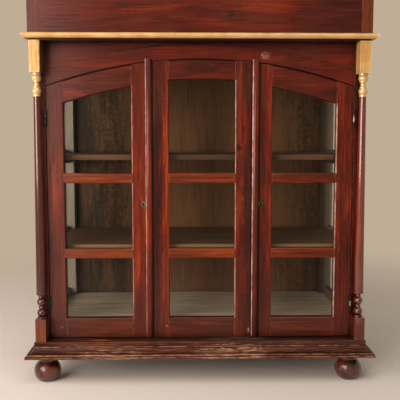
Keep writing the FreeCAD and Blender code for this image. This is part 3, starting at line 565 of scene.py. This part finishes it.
def foot_wood(name):
    """Dark glossy varnish on turned feet."""
    material, graph = new_material(name)
    place = graph.object_place()
    patches = graph.span(graph.noise(place, 26, 4, 0.6, 1.0), 0.42, 0.66)
    colour = graph.blend(patches, tint(44, 19, 14), tint(104, 48, 31))
    rings = graph.noise(graph.grain_place(UP, 0.12, 0.0), 120, 3)
    colour = graph.blend(graph.span(rings, 0.5, 0.75, 0.0, 0.4), colour, tint(24, 10, 8))
    # Painted shade and grime in the crevices.
    colour = graph.blend(graph.times(graph.crevices(0.02), 0.8), colour, GRIME_AND_SHADE)
    graph.surface(
        Base_Color=colour,
        Roughness=graph.span(patches, 0, 1, 0.3, 0.4),
        Specular_IOR_Level=0.25,
        Coat_Weight=1.0,
        Coat_Roughness=0.24,
        Normal=graph.bump(graph.noise(place, 45, 3), 0.1, 0.002),
    )
    return material


def pane_glass(name):
    """Clear old glass with a slight ripple, which lets the lamps' light through."""
    material, graph = new_material(name)
    ripple = graph.noise(graph.object_place(), 7, 1)
    pane = graph.node("BsdfPrincipled", {
        "Base Color": tint(248, 248, 243),
        "Roughness": 0.0,
        "IOR": 1.18,
        "Transmission Weight": 1.0,
        "Normal": graph.bump(ripple, 0.05, 0.004),
    })
    clear = graph.node("BsdfTransparent", {"Color": tint(240, 246, 240)})
    path = graph.node("LightPath").outputs
    lamplight = graph.most(path["Is Shadow Ray"], path["Is Diffuse Ray"])
    graph.show(graph.node("MixShader", {0: lamplight, 1: pane.outputs[0], 2: clear.outputs[0]}))
    return material


def metal(name, bright, tarnish, share):
    """Dull metal that is tarnished in patches, more of it where the share is larger."""
    material, graph = new_material(name)
    place = graph.object_place()
    stain = graph.span(graph.noise(place, 260, 4, 0.65), 0.62 - share, 0.72 - share)
    colour = graph.blend(stain, bright, tarnish)
    graph.surface(
        Base_Color=graph.blend(graph.times(graph.crevices(0.006), 0.8), colour, GRIME_AND_SHADE),
        Metallic=0.9,
        Roughness=graph.span(stain, 0, 1, 0.34, 0.6),
        Normal=graph.bump(graph.noise(place, 500, 3), 0.1, 0.0004),
    )
    return material


# The width of the rounded edges.
EDGE = 0.0007
FINE_EDGE = 0.0005
# Corners closer than this are one, flatter meetings of faces are smoothed away, sharper ones are rounded.
SAME_PLACE = 0.00002
FLAT = math.radians(0.3)
SHARP = math.radians(35)


def soften(item, width):
    """Joins the faces' corners and rounds the sharp edges."""
    weld = item.modifiers.new("weld", "WELD")
    weld.merge_threshold = SAME_PLACE
    flats = item.modifiers.new("flats", "DECIMATE")
    flats.decimate_type = "DISSOLVE"
    flats.angle_limit = FLAT
    rounding = item.modifiers.new("rounding", "BEVEL")
    rounding.width = width
    rounding.segments = 2
    rounding.limit_method = "ANGLE"
    rounding.angle_limit = SHARP
    rounding.harden_normals = True


def dress(names, material, width=0.0):
    """Gives the nodes a material and, with a width, rounded edges."""
    for name in names:
        for slot in nodes[name].material_slots:
            slot.material = material
        if width:
            soften(nodes[name], width)


def on_front(face, place, reach, *change, deep=0.02):
    """A mark on an upright face, from its X and Z and its reach along them, with what it changes.

    Deep is its reach along Y.
    """
    across, height = place
    half_width, half_height = reach
    return ((across, face, height), (half_width, deep, half_height), *change)


def dress_frame():
    """The red varnished frame and doors."""
    # The front posts are darker, with painted shade reaching further, where they lie behind the columns.
    dress(["front_posts"], mahogany("post_mahogany", UP, lift=-0.1, corners=0.035), EDGE)
    dress(["rear_posts"], mahogany("rear_post_mahogany", UP, lift=-0.05, painted_inside=True), EDGE)
    dress(["side_rails"], mahogany("side_mahogany", DEEP, painted_inside=True), EDGE)
    # The top board's front under the cornice is near-black: painted shade.
    dress(["carcass_top_board"],
          mahogany("top_mahogany", ACROSS, lift=-0.45, wear_and_highlight=0.0, corners=0.06), EDGE)
    scratch = on_front(DOOR_FACE, (0.2, 1.016), (0.018, 0.013))
    # The frieze's wider reach of painted shade darkens it under the cornice.
    frieze = mahogany("frieze_mahogany", ACROSS, lift=0.04, contrast=0.2, figure_share=0.3, corners=0.07,
                      arched=True, scratches=[scratch])
    dress(["arch_rail", "frieze_board"], frieze, EDGE)
    dress_stiles()
    dress_bars()
    beads = [owner + "_glazing_beads" for owner in LEAVES]
    dress(beads, mahogany("bead_mahogany", UP, lift=-0.1))


def dress_parapet():
    """The plain board over the cornice, with its end pieces, returns and duller lid."""
    browner = on_front(PARAPET_FACE, (0.5, 1.13), (0.06, 0.3), tint(112, 58, 38), deep=0.3)
    dress(["parapet_stiles"], mahogany("parapet_stile_mahogany", UP, stains=[browner]), EDGE)
    orange = on_front(PARAPET_FACE, (0.206, 1.147), (0.12, 0.02), 0.2, deep=0.1)
    # Painted shade on the board's left part and on its right end.
    left_shade = on_front(PARAPET_FACE, (-0.4, 1.13), (0.25, 0.12), -0.14, deep=0.1)
    dark_end = on_front(PARAPET_FACE, (0.42, 1.12), (0.2, 0.12), -0.2, deep=0.1)
    eye = on_front(PARAPET_FACE, (0.09, 1.13), (0.016, 0.012), -0.35, deep=0.1)
    board = mahogany("parapet_mahogany", ACROSS, contrast=0.18, figure_share=0.28,
                     spots=[orange, left_shade, dark_end, eye])
    dress(["parapet_front_board"], board, EDGE)
    dress(["parapet_lid"],
          mahogany("lid_mahogany", ACROSS, coat=0.1, coat_roughness=0.4, glow=0.05), EDGE)
    dress(["parapet_returns"], mahogany("return_mahogany", LEVEL), EDGE)


def dress_columns():
    """The turned columns, with dull base blocks. The left one is darker and has less gloss."""
    block_height = DECK_TOP + 0.024
    balls_height = DECK_TOP + 0.112
    for name, lift, coat, block in (("left_column", -0.25, 0.6, tint(118, 58, 31)),
                                    ("right_column", 0.05, 1.0, tint(76, 34, 21))):
        across, deep = middle(name, ACROSS), middle(name, DEEP)
        faded = ((across, deep, block_height), (0.05, 0.06, 0.065), block)
        balls = ((across, deep, balls_height), (0.05, 0.05, 0.06), -0.25)
        wood = mahogany(name + "_mahogany", UP, lift=lift, coat=coat, coat_roughness=0.12, coat_ior=1.75,
                        glow=0.7, glow_tint=RED_GLOW, age=0.0, wear_and_highlight=0.15, stains=[faded], spots=[balls])
        dress([name], wood)


def down_the_stile(across, half_width, gain):
    """A band of another lift along the whole height of a stile."""
    return on_front(DOOR_FACE, (across, MIDDLE_HEIGHT), (half_width, WHOLE_HEIGHT), gain, deep=0.06)


def dress_stiles():
    """The doors' and the fixed panel's uprights, darker beside the strips, with painted highlights on
    faces that look left.
    """
    # Painted shadows beside the strips, as dark lines: two on the fixed panel's stiles and one on the
    # right door's own.
    left_strip_shadow = high_end("left_door_strip", ACROSS) + 0.002
    right_strip_shadow = low_end("right_door_strip", ACROSS) - 0.002
    door_strip_shadow = high_end("right_door_strip", ACROSS) + 0.0025
    knot = on_front(DOOR_FACE, (0.117, 0.732), (0.012, 0.014), -0.6)
    curl = on_front(DOOR_FACE, (0.133, 0.601), (0.012, 0.03), -0.3)
    left_dark = down_the_stile(left_strip_shadow + 0.001, 0.026, -0.4)
    left_orange = on_front(DOOR_FACE, (-0.105, 0.4), (0.018, 0.7), 0.3, deep=0.06)
    right_dark = down_the_stile(right_strip_shadow - 0.001, 0.034, -0.3)
    chipped = [on_front(DOOR_FACE, (-0.107, 0.167), (0.006, 0.006)),
               on_front(DOOR_FACE, (0.152, 0.152), (0.006, 0.012))]
    centre = mahogany("centre_mahogany", UP, lift=0.05, contrast=0.45, scratches=chipped, rubbed_and_highlight=0.5,
                      strip_shadows=[left_strip_shadow, right_strip_shadow],
                      spots=[knot, curl, left_dark, left_orange, right_dark])
    dress(["centre_panel_stiles"], centre, EDGE)

    flame = on_front(DOOR_FACE, (-0.456, 0.61), (0.014, 0.1), 0.35)
    chipped = [on_front(DOOR_FACE, (-0.44, 0.166), (0.006, 0.005))]
    dress(["left_door_hinge_stile"],
          mahogany("flame_mahogany", UP, spots=[flame], scratches=chipped), EDGE)
    chipped = [on_front(DOOR_FACE, (-0.219, 0.16), (0.006, 0.03))]
    dress(["left_door_lock_stile"],
          mahogany("left_mahogany", UP, lift=0.2, scratches=chipped, rubbed_and_highlight=0.4), EDGE)

    dark = down_the_stile(door_strip_shadow + 0.0005, 0.024, -0.2)
    dress(["right_door_lock_stile"],
          mahogany("right_mahogany", UP, lift=0.05, strip_shadows=[door_strip_shadow], spots=[dark]), EDGE)
    dress(["right_door_hinge_stile"],
          mahogany("right_edge_mahogany", UP, contrast=0.45, rubbed_and_highlight=0.6), EDGE)
    for side, pale in (("left", 0.5), ("right", 0.8)):
        strip = mahogany(side + "_strip_mahogany", UP, lift=0.08, coat=0.5, wear_and_highlight=0.7, rubbed_and_highlight=pale)
        dress([side + "_door_strip"], strip, FINE_EDGE)


def dress_bars():
    """The rails and bars of the doors and the panel; the bars are more orange than the bottom rails."""
    upper_bar = on_front(DOOR_FACE, (0.324, 0.638), (0.3, 0.06), -0.15, deep=0.06)
    lifts = {"left_door": (0.06, -0.23, ()), "centre_panel": (0.04, -0.27, ()),
             "right_door": (-0.06, -0.28, [upper_bar])}
    for owner, (lift, low_lift, spots) in lifts.items():
        wood = mahogany(owner + "_bar_mahogany", ACROSS, lift=lift, low_lift=low_lift, spots=spots,
                        wear_and_highlight=0.7, contrast=0.35, colours=ORANGE_MAHOGANY)
        dress([owner + "_rails"], wood, EDGE)
    orange = on_front(DOOR_FACE, (-0.4, 0.9), (0.08, 0.02), 0.25)
    dark = on_front(DOOR_FACE, (0.005, 0.975), (0.07, 0.018), -0.25)
    heads = [owner + "_top_rail" for owner in LEAVES]
    dress(heads, mahogany("head_mahogany", ACROSS, spots=[orange, dark], arched=True), EDGE)


def dress_base():
    """The deck, the plinth's mouldings and the feet."""
    dress(["base_deck", "plinth_front_moulding"], worn_mahogany("plinth_mahogany", ACROSS), FINE_EDGE)
    dress(["plinth_side_mouldings"], worn_mahogany("plinth_side_mahogany", DEEP), FINE_EDGE)
    dress(["bun_feet"], foot_wood("bun_foot_wood"))


def dress_gilding():
    """The gilt cornice and capitals; the inner side of the left capital lies in the dark."""
    dress(["cornice_front_moulding", "cornice_side_mouldings"], gilt("cornice_gilt", ACROSS))
    inner_face = (high_end("left_capital", ACROSS), middle("left_capital", DEEP), 1.0)
    shade = (inner_face, (0.004, 0.06, 0.12))
    dress(["left_capital"], gilt("left_capital_gilt", UP, brushed=0.8, shade=shade))
    dress(["right_capital"], gilt("right_capital_gilt", UP, brushed=0.6))


def dress_inside():
    """The back, floor, shelves and hidden wood, and the panes."""
    # Painted light and shade on the back: paler across the middle and darker at the left end.
    pale = on_front(BACK_FACE, (0.06, MIDDLE_HEIGHT), (0.5, WHOLE_HEIGHT), 0.65, deep=0.01)
    left_end = on_front(BACK_FACE, (-0.42, MIDDLE_HEIGHT), (0.26, WHOLE_HEIGHT), -0.5, deep=0.01)
    back = plain_wood("back_wood", UP, tint(48, 32, 21), tint(132, 89, 59), streaky=0.25,
                      spots=[pale, left_end])
    dress(["back_boards"], back, EDGE)
    pale = ((0.05, 0.0, high_end("floor_board", UP)), (0.34, 0.6, 0.1), 0.4)
    floor = plain_wood("floor_wood", ACROSS, tint(172, 152, 140), tint(238, 214, 200), streaky=0.4,
                       spots=[pale])
    dress(["floor_board"], floor, EDGE)
    dark = ((0.03, low_end("upper_shelf", DEEP), middle("upper_shelf", UP)), (0.3, 0.3, 0.1), -0.5)
    shelf = plain_wood("shelf_wood", ACROSS, tint(80, 50, 38), tint(117, 77, 62), spots=[dark])
    dress(["upper_shelf"], shelf, EDGE)
    low_shelf = plain_wood("low_shelf_wood", ACROSS, tint(60, 40, 29), tint(118, 84, 64), streaky=0.6,
                           front=low_end("lower_shelf", DEEP))
    dress(["lower_shelf"], low_shelf, EDGE)
    hidden = plain_wood("hidden_wood", ACROSS, tint(84, 58, 40), tint(120, 88, 62))
    dress(["base_rails", "base_corner_blocks", "floor_bearers", "shelf_battens"], hidden, EDGE)
    panes = [owner + "_glass" for owner in LEAVES] + ["side_glass"]
    dress(panes, pane_glass("pane_glass"))


def dress_metal():
    """The hinges and locks, each kind of metal with its own tarnish."""
    steel = metal("hinge_steel", tint(88, 82, 74), tint(40, 32, 27), 0.2)
    dress(["left_door_hinge_leaves", "frame_hinge_leaves", "hinge_pins"], steel)
    dress(["right_door_hinge_leaves"], metal("bright_steel", tint(168, 160, 150), tint(70, 60, 52), 0.1))
    dress(["left_escutcheon"], metal("lock_nickel", tint(142, 133, 122), tint(52, 45, 40), 0.16))
    dress(["right_escutcheon"], metal("lock_brass", tint(104, 98, 84), tint(36, 32, 26), 0.18))
    tarnished = metal("lock_tarnish", tint(86, 78, 66), tint(30, 26, 21), 0.2)
    locks = ["left_lock_case", "right_lock_case", "left_lock_bolt", "right_lock_bolt", "strike_plates"]
    dress(locks, tarnished, FINE_EDGE)


def make_world():
    """A pale room, which lights the object less than it shows."""
    world = bpy.data.worlds.new("room_light")
    bpy.context.scene.world = world
    world.use_nodes = True
    graph = Graph(world.node_tree)
    path = graph.node("LightPath").outputs
    shown = graph.most(path["Is Camera Ray"], path["Is Glossy Ray"], path["Is Transmission Ray"])
    strength = graph.span(shown, 0, 1, 0.6, 1.0)
    graph.show(graph.node("Background", {"Color": BACKGROUND, "Strength": strength}), "OutputWorld")


FLOOR_RADIUS = 12
# The distances between which the floor runs out into the background.
FLOOR_FADE = (1.1, 2.6)


def make_floor():
    """A round pale floor that runs out into the background's colour."""
    bpy.ops.mesh.primitive_circle_add(vertices=96, radius=FLOOR_RADIUS, fill_type="NGON",
                                      location=(0, 0, 0))
    floor = bpy.context.object
    floor.name = "floor"
    material, graph = new_material("pale_floor")
    fibre = graph.noise(graph.object_place(), 260, 3)
    matt = graph.node("BsdfDiffuse", {
        "Color": tint(236, 230, 224),
        "Normal": graph.bump(fibre, 0.25, 0.004),
    })
    glow = graph.node("Emission", {"Color": BACKGROUND})
    far = graph.span(graph.length(graph.object_place()), *FLOOR_FADE)
    graph.show(graph.node("MixShader", {0: far, 1: matt.outputs[0], 2: glow.outputs[0]}))
    floor.data.materials.append(material)


WARM = (1.0, 0.86, 0.78)
WHITE = (1.0, 1.0, 1.0)
# Where the lamps point: the middle of the cabinet's front.
LAMP_AIM = Vector((0, -0.2, 0.6))


def make_lamp(name, place, size, brightness, colour=WARM, mirrored=True):
    """A flat lamp turned towards the cabinet. Brightness is by area, so a larger lamp gives more light.

    A lamp that isn't mirrored gives its light but doesn't show in glossy surfaces.
    """
    data = bpy.data.lights.new(name, "AREA")
    data.shape = "RECTANGLE"
    data.size, data.size_y = size
    data.energy = brightness * math.pi * size[0] * size[1]
    data.color = colour
    lamp = bpy.data.objects.new(name, data)
    bpy.context.scene.collection.objects.link(lamp)
    lamp.location = place
    lamp.rotation_euler = (LAMP_AIM - Vector(place)).to_track_quat("-Z", "Y").to_euler()
    lamp.visible_camera = False
    lamp.visible_transmission = False
    lamp.visible_glossy = mirrored


def make_lamps():
    """Windows on the left, in front and beside the cabinet, and soft light from the ceiling.

    The nearer window in front is two lamps. Both light the cabinet, and only the brighter one is mirrored.
    """
    make_lamp("window", (-1.9, -1.75, 1.15), (1.0, 1.4), 1.4, mirrored=False)
    make_lamp("window_glint", (-1.85, -1.7, 1.15), (0.9, 1.3), 6.9)
    make_lamp("side_window", (-3.4, -0.7, 1.0), (1.6, 1.5), 6.4, mirrored=False)
    make_lamp("far_window", (-2.3, -4.3, 1.5), (0.9, 2.2), 14)
    make_lamp("ceiling", (0.2, -1.8, 3.3), (3.0, 2.0), 1.8, WHITE)


def make_camera():
    """The photograph's viewpoint: a 400 pixel frame and a focal length of 638 pixels."""
    focal, frame_width, sensor = 638, 400, 36.0
    place = (-0.0433, -2.184, 0.754)
    pitch, yaw = math.radians(5.28), math.radians(1.2)
    data = bpy.data.cameras.new("camera")
    data.sensor_width = sensor
    data.lens = sensor * focal / frame_width
    camera = bpy.data.objects.new("camera", data)
    bpy.context.scene.collection.objects.link(camera)
    camera.location = place
    ahead = Vector((math.sin(yaw) * math.cos(pitch), math.cos(yaw) * math.cos(pitch), -math.sin(pitch)))
    camera.rotation_euler = ahead.to_track_quat("-Z", "Y").to_euler()
    bpy.context.scene.camera = camera


dress_frame()
dress_parapet()
dress_columns()
dress_base()
dress_gilding()
dress_inside()
dress_metal()
make_world()
make_floor()
make_lamps()
make_camera()
bpy.context.scene.view_settings.view_transform = "Standard"
